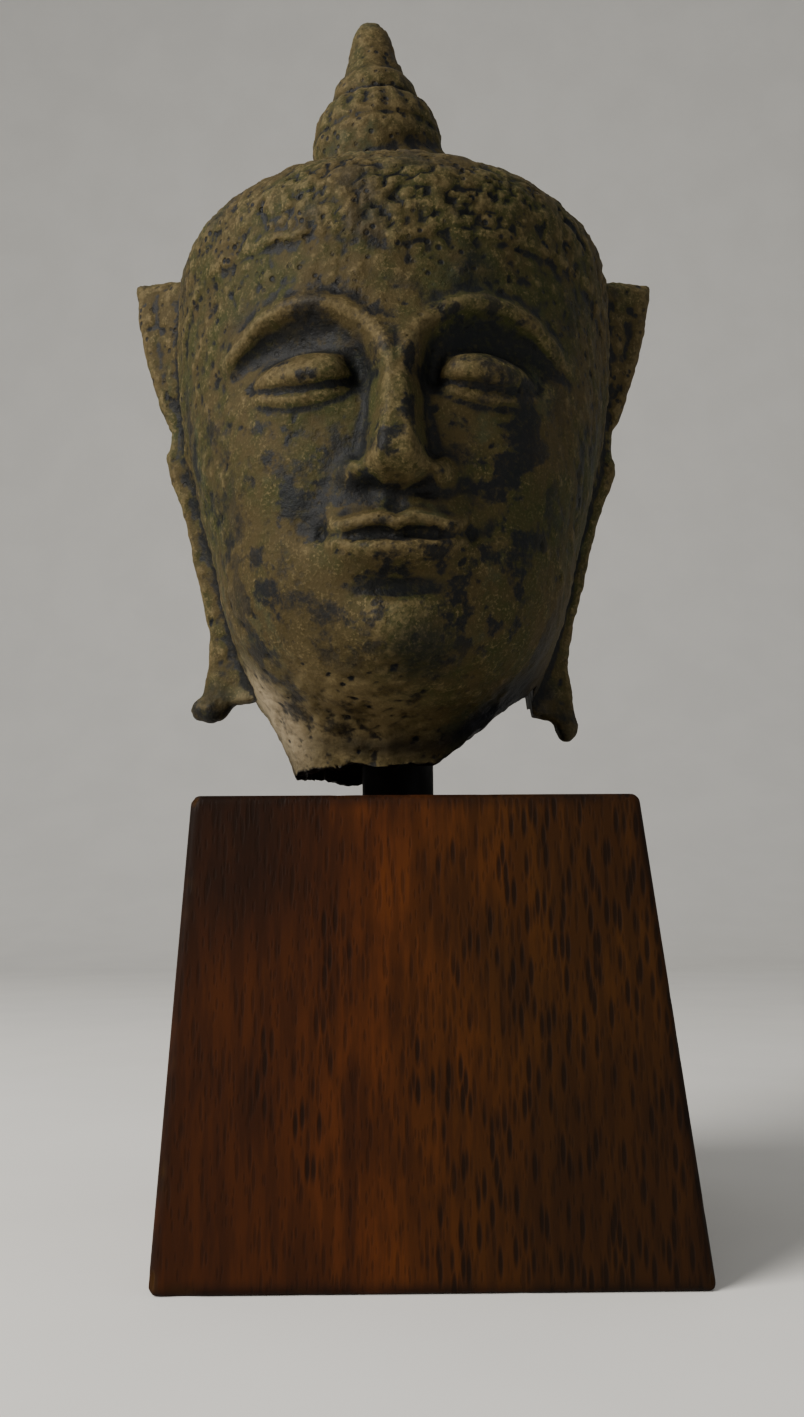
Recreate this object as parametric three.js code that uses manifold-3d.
// A cast bronze head, broken off at the neck, carried by a short post on a tapered hardwood plinth.
// Millimetres, +Z up, the face towards -Y. The origin is the centre of the plinth's underside.
import * as THREE from 'three';
import { mergeVertices } from 'three/addons/utils/BufferGeometryUtils.js';
import Module from 'manifold-3d';

const wasm = await Module();
wasm.setup();

// Plinth: a square block that tapers upwards, its top slightly out of centre.
const PLINTH_BASE = 50;
const PLINTH_TOP = 42.6;
const PLINTH_HEIGHT = 44;
const PLINTH_TOP_OFFSET_X = -1.1;
const PLINTH_CORNER_RADIUS = 0.6;
const PLINTH_EDGE_ROUNDING = 0.5;

// Post: a round dowel let into the plinth and into the neck.
const POST_DIAMETER = 8;
const POST_OFFSET_X = -1.5;
const POST_Y = 2;
const POST_DEPTH_IN_PLINTH = 14;
const POST_DEPTH_IN_NECK = 10;
const POST_CLEARANCE = 0.3;
const NECK_ABOVE_PLINTH = 4;

// Head: its carving is stated as shares of HEAD_HEIGHT, chin to crown.
const HEAD_HEIGHT = 64;
const HEAD_OFFSET_X = -1.7;
const CHIN_ABOVE_BREAK = 5;
const NECK_BREAK_SLOPE = 0.74;
const NECK_BREAK_TURN = 0.18;
const NECK_BREAK_ROUGHNESS = 0.45;
const NECK_BREAK_PITCH = 3.2;
const NECK_WALL = 3;
const NECK_RECESS_DEPTH = 2.5;

// Finial: it rises from the mound on the crown with a ribbed bulb, a ledge and a cone.
const FINIAL_OFFSET_X = -1.45;
const FINIAL_Y = 4;
const FINIAL_HEIGHT = 24;
const FINIAL_ABOVE_CROWN = 1.5;
const FINIAL_LEAN_DEGREES = 3;
const FINIAL_RIBS = 20;
const FINIAL_RIB_DEPTH = 0.25;

// Places that follow from the sizes above. The head and the post stand by the plinth's top.
const POST_X = PLINTH_TOP_OFFSET_X + POST_OFFSET_X;
const HEAD_X = PLINTH_TOP_OFFSET_X + HEAD_OFFSET_X;
const FINIAL_X = HEAD_X + FINIAL_OFFSET_X;
const NECK_LOW_Z = PLINTH_HEIGHT + NECK_ABOVE_PLINTH;
const CHIN_Z = NECK_LOW_Z + CHIN_ABOVE_BREAK;
const CROWN_Z = CHIN_Z + HEAD_HEIGHT;
const POST_TOP_Z = NECK_LOW_Z + POST_DEPTH_IN_NECK;
const POST_BOTTOM_Z = PLINTH_HEIGHT - POST_DEPTH_IN_PLINTH;

// Numbers and blends

const clamp01 = (v) => Math.min(Math.max(v, 0), 1);
const smoothStep = (from, to, v) => {
  const t = clamp01((v - from) / (to - from));
  return t * t * (3 - 2 * t);
};
const smoothMin = (a, b, blend) => {
  const h = Math.max(blend - Math.abs(a - b), 0) / blend;
  return Math.min(a, b) - (h * h * blend) / 4;
};

// Signed distance, near enough, to an ellipsoid.
function ellipsoid(x, y, z, centre, radii) {
  const p = [x - centre[0], y - centre[1], z - centre[2]];
  const k0 = Math.hypot(p[0] / radii[0], p[1] / radii[1], p[2] / radii[2]);
  const k1 = Math.hypot(p[0] / radii[0] ** 2, p[1] / radii[1] ** 2, p[2] / radii[2] ** 2);
  return k1 > 0 ? (k0 * (k0 - 1)) / k1 : -Math.min(...radii);
}

// Height of a soft round mound or hollow over the front of the head.
function mound(x, z, centre, radii, height) {
  const q = Math.hypot((x - centre[0]) / radii[0], (z - centre[1]) / radii[1]);
  return height * Math.exp(-q * q * 1.6);
}

// Height of a soft ridge or groove that follows a line of points over the front of the head.
function stroke(x, z, points, width, height) {
  let nearest = Infinity;
  for (let i = 1; i < points.length; i += 1) {
    const [ax, az] = points[i - 1];
    const [bx, bz] = points[i];
    const along = clamp01(((x - ax) * (bx - ax) + (z - az) * (bz - az)) / ((bx - ax) ** 2 + (bz - az) ** 2));
    nearest = Math.min(nearest, Math.hypot(x - ax - along * (bx - ax), z - az - along * (bz - az)));
  }
  return height * Math.exp(-((nearest / width) ** 2));
}

// Value at v of a smooth curve through [v, value] pairs that are sorted by v.
function follow(pairs, v) {
  const last = pairs.length - 1;
  if (v <= pairs[0][0]) return pairs[0][1];
  if (v >= pairs[last][0]) return pairs[last][1];
  let i = 0;
  while (v > pairs[i + 1][0]) i += 1;
  const slope = (a, b) => (pairs[b][1] - pairs[a][1]) / (pairs[b][0] - pairs[a][0]);
  const span = pairs[i + 1][0] - pairs[i][0];
  const m0 = slope(Math.max(i - 1, 0), i + 1) * span;
  const m1 = slope(i, Math.min(i + 2, last)) * span;
  const t = (v - pairs[i][0]) / span;
  return (2 * t ** 3 - 3 * t ** 2 + 1) * pairs[i][1] + (t ** 3 - 2 * t ** 2 + t) * m0
    + (3 * t ** 2 - 2 * t ** 3) * pairs[i + 1][1] + (t ** 3 - t ** 2) * m1;
}

// Head, in shares of its height: x to the side, y to the back, z up from the chin

const SKULL = { centre: [0, 0, 0.782], side: 0.379, depth: 0.4, above: 0.181, below: 0.61 };
const OCCIPUT = { centre: [0, 0.09, 0.61], radii: [0.345, 0.35, 0.33] };
const CROWN_MOUND = { centre: [0.008, 0.09, 0.945], radii: [0.17, 0.17, 0.2] };
const FACE = { centre: [0, -0.085, 0.44], radii: [0.325, 0.325, 0.42] };
const JAW = { centre: [0, -0.15, 0.18], radii: [0.25, 0.24, 0.185] };
const NAPE = { centre: [0, 0.1, 0.3], radii: [0.27, 0.26, 0.36] };
const NECK_PROFILE = [[-0.2, 0.16], [-0.07, 0.18], [0.01, 0.208], [0.06, 0.232], [0.2, 0.25]];
const NECK_CENTRE_BACK = 0.03;
const NECK_END = -0.12;
const NECK_TOP = 0.4;

const BROW = [[0.024, 0.505], [0.045, 0.555], [0.09, 0.59], [0.15, 0.602], [0.21, 0.588], [0.262, 0.55]];
const LID_EDGE = [[0.062, 0.478], [0.1, 0.466], [0.14, 0.462], [0.18, 0.468], [0.218, 0.484]];
const UPPER_LIP = [[0, 0.242], [0.024, 0.249], [0.055, 0.246], [0.085, 0.241], [0.108, 0.243]];
const LIP_LINE = [[0, 0.224], [0.026, 0.229], [0.06, 0.226], [0.088, 0.231], [0.108, 0.242]];
const LOWER_LIP = [[0, 0.202], [0.035, 0.204], [0.07, 0.214], [0.104, 0.237]];
const NOSE_HEIGHT = [
  [0.275, 0], [0.298, 0.012], [0.318, 0.06], [0.342, 0.079], [0.37, 0.074],
  [0.44, 0.052], [0.51, 0.031], [0.57, 0.012], [0.62, 0],
];
const NOSE_CREST = [[0.29, 0.012], [0.34, 0.02], [0.42, 0.009], [0.52, 0.009], [0.6, 0.02]];
const NOSE_FOOT = [[0.29, 0.05], [0.34, 0.06], [0.42, 0.052], [0.5, 0.043], [0.6, 0.075]];
const HAIRLINE = [[0, 0.69], [0.1, 0.708], [0.75, 0.718], [1.15, 0.68], [1.4, 0.55], [1.75, 0.3], [3.2, 0.14]];
const HAIR_RELIEF = 0.006;
const HAIR_EDGE = 0.01;

const EYE = { side: 0.14, up: 0.487, halfWidth: 0.088, halfHeight: 0.052, height: 0.031 };
const FACE_STROKES = [
  { line: BROW, width: 0.025, height: 0.019 },
  { line: LID_EDGE, width: 0.014, height: -0.01 },
  { line: UPPER_LIP, width: 0.016, height: 0.018 },
  { line: LOWER_LIP, width: 0.02, height: 0.022 },
  { line: LIP_LINE, width: 0.011, height: -0.014 },
];
const FACE_MOUNDS = {
  socket: { centre: [0.15, 0.545], radii: [0.12, 0.055], height: -0.026 },
  innerCorner: { centre: [0.056, 0.495], radii: [0.03, 0.045], height: -0.026 },
  nostrilWing: { centre: [0.062, 0.33], radii: [0.03, 0.026], height: 0.03 },
  muzzle: { centre: [0, 0.228], radii: [0.16, 0.09], height: 0.024 },
  underLip: { centre: [0, 0.157], radii: [0.075, 0.026], height: -0.016 },
  chin: { centre: [0, 0.085], radii: [0.11, 0.075], height: 0.034 },
  cheek: { centre: [0.2, 0.36], radii: [0.1, 0.1], height: 0.012 },
};
const FACE_FADE_BACK = 0.12;
const BLEND = { jaw: 0.12, nape: 0.14, occiput: 0.12, mound: 0.09, halves: 0.1, neck: 0.07 };

// Height of the face's carving over the plain form of the head.
function faceRelief(side, z) {
  const eye = 1 - ((side - EYE.side) / EYE.halfWidth) ** 2 - ((z - EYE.up) / EYE.halfHeight) ** 2;
  let relief = follow(NOSE_HEIGHT, z) * (1 - smoothStep(follow(NOSE_CREST, z), follow(NOSE_FOOT, z), side));
  relief += EYE.height * clamp01(eye);
  for (const { line, width, height } of FACE_STROKES) relief += stroke(side, z, line, width, height);
  for (const { centre, radii, height } of Object.values(FACE_MOUNDS)) relief += mound(side, z, centre, radii, height);
  return relief;
}

// An egg shape, lower above its middle than below it.
function skull(x, y, z) {
  const height = z > SKULL.centre[2] ? SKULL.above : SKULL.below;
  return ellipsoid(x, y, z, SKULL.centre, [SKULL.side, SKULL.depth, height]);
}

// Negative inside the head and neck, zero on the skin or hair.
function headField(x, y, z) {
  const part = ({ centre, radii }) => ellipsoid(x, y, z, centre, radii);
  const lowerHead = smoothMin(smoothMin(part(FACE), part(JAW), BLEND.jaw), part(NAPE), BLEND.nape);
  const skullAndBack = smoothMin(skull(x, y, z), part(OCCIPUT), BLEND.occiput);
  const upperHead = smoothMin(skullAndBack, part(CROWN_MOUND), BLEND.mound);
  const form = smoothMin(upperHead, lowerHead, BLEND.halves);
  const side = Math.abs(x);
  const turn = Math.atan2(side, -y);
  const front = smoothStep(0, -FACE_FADE_BACK, y);
  const hair = smoothStep(-HAIR_EDGE, HAIR_EDGE, z - follow(HAIRLINE, turn));
  const head = form - front * (1 - hair) * faceRelief(side, z) - hair * HAIR_RELIEF;
  const neck = Math.hypot(x, y - NECK_CENTRE_BACK) - follow(NECK_PROFILE, z);
  return smoothMin(head, Math.max(neck, NECK_END - z, z - NECK_TOP), BLEND.neck);
}

const HEAD_SEGMENTS_ROUND = 56;
const HEAD_SEGMENTS_UP = 46;
const FRONT_CROWDING = 0.5;
const EYE_LEVEL_CROWDING = 0.32;
const EYE_LEVEL_ANGLE = THREE.MathUtils.degToRad(102);
const HEAD_CENTRE_SHARE = 0.5;
const REACH_SHARE = 1;
const HALVINGS = 22;

// Moves a point of the unit sphere out to the head's surface, with more points over the face.
function placeOnHead(point) {
  const evenPolar = Math.acos(THREE.MathUtils.clamp(point.z, -1, 1));
  const swing = Math.sin(2 * (evenPolar - EYE_LEVEL_ANGLE)) + Math.sin(2 * EYE_LEVEL_ANGLE);
  const polar = evenPolar - (EYE_LEVEL_CROWDING / 2) * swing;
  const even = Math.atan2(point.x, -point.y);
  const turn = even - FRONT_CROWDING * Math.sin(even);
  const direction = [Math.sin(polar) * Math.sin(turn), -Math.sin(polar) * Math.cos(turn), Math.cos(polar)];
  let inside = 0;
  let outside = REACH_SHARE;
  for (let i = 0; i < HALVINGS; i += 1) {
    const reach = (inside + outside) / 2;
    const value = headField(direction[0] * reach, direction[1] * reach, HEAD_CENTRE_SHARE + direction[2] * reach);
    if (value < 0) inside = reach;
    else outside = reach;
  }
  point.set(
    HEAD_X + direction[0] * inside * HEAD_HEIGHT,
    direction[1] * inside * HEAD_HEIGHT,
    CHIN_Z + (HEAD_CENTRE_SHARE + direction[2] * inside) * HEAD_HEIGHT,
  );
}

// Geometry helpers

const POST_SEGMENTS = 32;

function eachVertex(geometry, move) {
  const position = geometry.attributes.position;
  const point = new THREE.Vector3();
  for (let i = 0; i < position.count; i += 1) {
    point.fromBufferAttribute(position, i);
    move(point);
    position.setXYZ(i, point.x, point.y, point.z);
  }
  return geometry;
}

function toSolid(geometry) {
  const bare = geometry.clone();
  bare.deleteAttribute('normal');
  bare.deleteAttribute('uv');
  const merged = mergeVertices(bare, 1e-4);
  return new wasm.Manifold(new wasm.Mesh({
    numProp: 3,
    vertProperties: new Float32Array(merged.attributes.position.array),
    triVerts: new Uint32Array(merged.index.array),
  }));
}

function toGeometry(solid) {
  const mesh = solid.getMesh();
  const geometry = new THREE.BufferGeometry();
  geometry.setAttribute('position', new THREE.BufferAttribute(new Float32Array(mesh.vertProperties), 3));
  geometry.setIndex(new THREE.BufferAttribute(new Uint32Array(mesh.triVerts), 1));
  geometry.computeVertexNormals();
  return geometry;
}

function uprightCylinder(radius, bottom, top, x, y, segments) {
  const cylinder = new THREE.CylinderGeometry(radius, radius, top - bottom, segments);
  return cylinder.rotateX(Math.PI / 2).translate(x, y, (bottom + top) / 2);
}

// Ears, in shares of the head's height: heights up the ear against rim, root and depth

const EAR_TOP = 0.851;
const EAR_TOP_FALL = 0.023;
const EAR_THICKNESS = 0.034;
const EAR_CUP = 0.008;
const EAR_END_FADE = 8;
const EARS = [
  { sideSign: -1, lobeEnd: 0.04, lobeSplay: 0.012, lobeWebRise: 0.014, knobHalfWidth: 0.0375 },
  { sideSign: 1, lobeEnd: 0.004, lobeSplay: -0.014, lobeWebRise: 0.03, knobHalfWidth: 0.0215 },
];
const LOBE_KNOB_RADIUS = 0.027;
const LOBE_KNOB_INSET = 0.0165;
const EAR_RIM = [
  [0, 0.333], [0.05, 0.329], [0.14, 0.318], [0.265, 0.338], [0.44, 0.373], [0.54, 0.401],
  [0.57, 0.405], [0.62, 0.397], [0.71, 0.427], [0.84, 0.46], [1, 0.484],
];
const EAR_ROOT = [[0, 0.205], [0.08, 0.205], [0.15, 0.21], [0.3, 0.225], [0.6, 0.28], [1, 0.29]];
const EAR_RIM_BACK = [[0, 0.03], [0.13, 0.03], [0.4, 0.035], [0.7, 0.045], [1, 0.06]];
const EAR_ROOT_BACK = [[0, -0.01], [0.13, -0.03], [0.4, -0.08], [0.7, -0.085], [1, -0.06]];
const EAR_STEPS = { across: 5, through: 2, up: 26 };

function earSolid({ sideSign, lobeEnd, lobeSplay, lobeWebRise, knobHalfWidth }) {
  const flange = new THREE.BoxGeometry(1, 1, 1, EAR_STEPS.across, EAR_STEPS.through, EAR_STEPS.up);
  eachVertex(flange, (point) => {
    const up = point.z + 0.5;
    const across = point.x + 0.5;
    const rim = new THREE.Vector2(follow(EAR_RIM, up), follow(EAR_RIM_BACK, up));
    const root = new THREE.Vector2(follow(EAR_ROOT, up), follow(EAR_ROOT_BACK, up));
    const run = rim.clone().sub(root);
    const through = new THREE.Vector2(run.y, -run.x).normalize();
    const place = root.clone().addScaledVector(run, across);
    const cup = EAR_CUP * Math.sin(Math.PI * across) ** 2 * smoothStep(0.1, 0.4, up);
    place.addScaledVector(through, -point.y * EAR_THICKNESS - cup);
    const side = place.x + lobeSplay * (1 - up);
    const web = lobeWebRise * (1 - up) ** EAR_END_FADE;
    const fall = EAR_TOP_FALL * up ** EAR_END_FADE;
    point.set(sideSign * side, place.y, lobeEnd + (1 - across) * (web - fall) + up * (EAR_TOP - lobeEnd));
  });
  if (sideSign < 0) flange.index.array.reverse();
  const knob = new THREE.SphereGeometry(LOBE_KNOB_RADIUS, 12, 8).rotateX(Math.PI / 2);
  knob.scale(knobHalfWidth / LOBE_KNOB_RADIUS, 1, 1);
  knob.translate(
    sideSign * (EAR_RIM[0][1] - LOBE_KNOB_INSET + lobeSplay),
    EAR_RIM_BACK[0][1] - LOBE_KNOB_INSET / 2,
    lobeEnd,
  );
  for (const piece of [flange, knob]) {
    piece.scale(HEAD_HEIGHT, HEAD_HEIGHT, HEAD_HEIGHT).translate(HEAD_X, 0, CHIN_Z);
  }
  return toSolid(flange).add(toSolid(knob));
}

// Finial, in shares of its height: [height, radius]

const FINIAL_PROFILE = [
  [0, 0.3], [0.2, 0.328], [0.28, 0.334], [0.34, 0.332], [0.39, 0.32], [0.43, 0.302], [0.457, 0.285],
  [0.478, 0.262], [0.495, 0.23], [0.525, 0.224], [0.57, 0.219], [0.61, 0.205], [0.645, 0.182], [0.683, 0.16],
  [0.739, 0.14], [0.86, 0.107], [0.92, 0.088], [0.96, 0.07], [0.985, 0.045],
];
const FINIAL_SEGMENTS = 2 * FINIAL_RIBS;
const RIBBED_FROM = 0.33;
const RIBBED_TO = 0.46;
const RIB_FADE = 0.03;

function finialSolid() {
  const outline = [
    new THREE.Vector2(0, 0),
    ...FINIAL_PROFILE.map(([height, radius]) => new THREE.Vector2(radius * FINIAL_HEIGHT, height * FINIAL_HEIGHT)),
    new THREE.Vector2(0, FINIAL_HEIGHT),
  ];
  const lathe = new THREE.LatheGeometry(outline, FINIAL_SEGMENTS).rotateX(Math.PI / 2);
  eachVertex(lathe, (point) => {
    const height = point.z / FINIAL_HEIGHT;
    const ribbed = smoothStep(RIBBED_FROM - RIB_FADE, RIBBED_FROM, height)
      * smoothStep(RIBBED_TO + RIB_FADE, RIBBED_TO, height);
    const turn = Math.atan2(point.y, point.x);
    const radius = Math.hypot(point.x, point.y);
    const groove = FINIAL_RIB_DEPTH * ribbed * (0.5 - 0.5 * Math.cos(FINIAL_RIBS * turn));
    const kept = radius > 0 ? 1 - groove / radius : 1;
    point.x *= kept;
    point.y *= kept;
  });
  lathe.rotateY(THREE.MathUtils.degToRad(-FINIAL_LEAN_DEGREES));
  lathe.translate(FINIAL_X, FINIAL_Y, CROWN_Z + FINIAL_ABOVE_CROWN);
  return toSolid(lathe);
}

// Neck and its break

const NECK_SEGMENTS = 36;
const BREAK_HALF_WIDTH = 0.3;
const BREAK_CELLS = 22;
const BREAK_WAVES = [
  { acrossX: 0.97, acrossY: 0.36, share: 0.5, phase: 0 },
  { acrossX: 1.58, acrossY: -0.66, share: 0.3, phase: 1 },
  { acrossX: 0, acrossY: 1.17, share: 0.25, phase: 2 },
];
const CUT_MARGIN = 0.1;
const CUT_FLOOR_Z = CHIN_Z + (NECK_END - CUT_MARGIN) * HEAD_HEIGHT;

// The break is level to the left of the post and climbs to the right, sooner at the back.
function breakHeight(x, y) {
  const frontY = (NECK_CENTRE_BACK - follow(NECK_PROFILE, 0)) * HEAD_HEIGHT;
  const climbing = x - POST_X - POST_DIAMETER / 2 + NECK_BREAK_TURN * (y - frontY);
  const rise = NECK_BREAK_SLOPE * Math.max(0, climbing);
  let jagged = 0;
  for (const { acrossX, acrossY, share, phase } of BREAK_WAVES) {
    jagged += share * Math.sin((2 * Math.PI * (acrossX * x + acrossY * y)) / NECK_BREAK_PITCH + phase);
  }
  return NECK_LOW_Z + rise + NECK_BREAK_ROUGHNESS * jagged;
}

// Everything below the broken edge of the neck.
function belowBreak() {
  const width = 2 * BREAK_HALF_WIDTH * HEAD_HEIGHT;
  const block = new THREE.BoxGeometry(width, width, 1, BREAK_CELLS, BREAK_CELLS, 1);
  block.translate(HEAD_X, 0, 0);
  eachVertex(block, (point) => {
    point.z = point.z > 0 ? breakHeight(point.x, point.y) : CUT_FLOOR_Z;
  });
  return toSolid(block);
}

// The shallow hollow that the neck's broken wall leaves around the post.
function neckRecess() {
  const radius = follow(NECK_PROFILE, (NECK_LOW_Z - CHIN_Z) / HEAD_HEIGHT) * HEAD_HEIGHT - NECK_WALL;
  const middleY = NECK_CENTRE_BACK * HEAD_HEIGHT;
  const top = NECK_LOW_Z + NECK_RECESS_DEPTH;
  return toSolid(uprightCylinder(radius, CUT_FLOOR_Z, top, HEAD_X, middleY, NECK_SEGMENTS));
}

// Plinth

function plinthSolid() {
  const half = PLINTH_BASE / 2 - PLINTH_EDGE_ROUNDING;
  const turn = PLINTH_CORNER_RADIUS;
  const outline = new THREE.Shape();
  outline.moveTo(-half + turn, -half);
  outline.lineTo(half - turn, -half);
  outline.absarc(half - turn, -half + turn, turn, -Math.PI / 2, 0, false);
  outline.lineTo(half, half - turn);
  outline.absarc(half - turn, half - turn, turn, 0, Math.PI / 2, false);
  outline.lineTo(-half + turn, half);
  outline.absarc(-half + turn, half - turn, turn, Math.PI / 2, Math.PI, false);
  outline.lineTo(-half, -half + turn);
  outline.absarc(-half + turn, -half + turn, turn, Math.PI, 1.5 * Math.PI, false);
  const block = new THREE.ExtrudeGeometry(outline, {
    depth: PLINTH_HEIGHT - 2 * PLINTH_EDGE_ROUNDING,
    curveSegments: 3,
    bevelEnabled: true,
    bevelThickness: PLINTH_EDGE_ROUNDING,
    bevelSize: PLINTH_EDGE_ROUNDING,
    bevelSegments: 2,
  }).translate(0, 0, PLINTH_EDGE_ROUNDING);
  eachVertex(block, (point) => {
    const up = point.z / PLINTH_HEIGHT;
    const narrowing = 1 + up * (PLINTH_TOP / PLINTH_BASE - 1);
    point.x = point.x * narrowing + up * PLINTH_TOP_OFFSET_X;
    point.y *= narrowing;
  });
  const hole = uprightCylinder(
    POST_DIAMETER / 2 + POST_CLEARANCE, POST_BOTTOM_Z, PLINTH_HEIGHT + 1, POST_X, POST_Y, POST_SEGMENTS,
  );
  return toSolid(block).subtract(toSolid(hole));
}

function headSolid() {
  const sphere = new THREE.SphereGeometry(1, HEAD_SEGMENTS_ROUND, HEAD_SEGMENTS_UP).rotateX(Math.PI / 2);
  const socket = uprightCylinder(
    POST_DIAMETER / 2 + POST_CLEARANCE, CUT_FLOOR_Z, POST_TOP_Z, POST_X, POST_Y, POST_SEGMENTS,
  );
  const castHead = toSolid(eachVertex(sphere, placeOnHead))
    .subtract(belowBreak())
    .subtract(neckRecess())
    .subtract(toSolid(socket))
    .add(finialSolid());
  return EARS.reduce((solid, ear) => solid.add(earSolid(ear)), castHead);
}

const patinatedBronze = new THREE.MeshStandardMaterial({ color: 0x5a4b35, roughness: 0.6, metalness: 0.5 });
const blackenedPost = new THREE.MeshStandardMaterial({ color: 0x12100f, roughness: 0.5, metalness: 0.1 });
const stainedHardwood = new THREE.MeshStandardMaterial({ color: 0x5b2413, roughness: 0.4, metalness: 0 });

function namedMesh(name, geometry, material) {
  const mesh = new THREE.Mesh(geometry, material);
  mesh.name = name;
  return mesh;
}

const group = new THREE.Group();
group.add(namedMesh('head', toGeometry(headSolid()), patinatedBronze));
group.add(namedMesh(
  'mounting_post',
  uprightCylinder(POST_DIAMETER / 2, POST_BOTTOM_Z, POST_TOP_Z, POST_X, POST_Y, POST_SEGMENTS),
  blackenedPost,
));
group.add(namedMesh('plinth', toGeometry(plinthSolid()), stainedHardwood));

export default group;
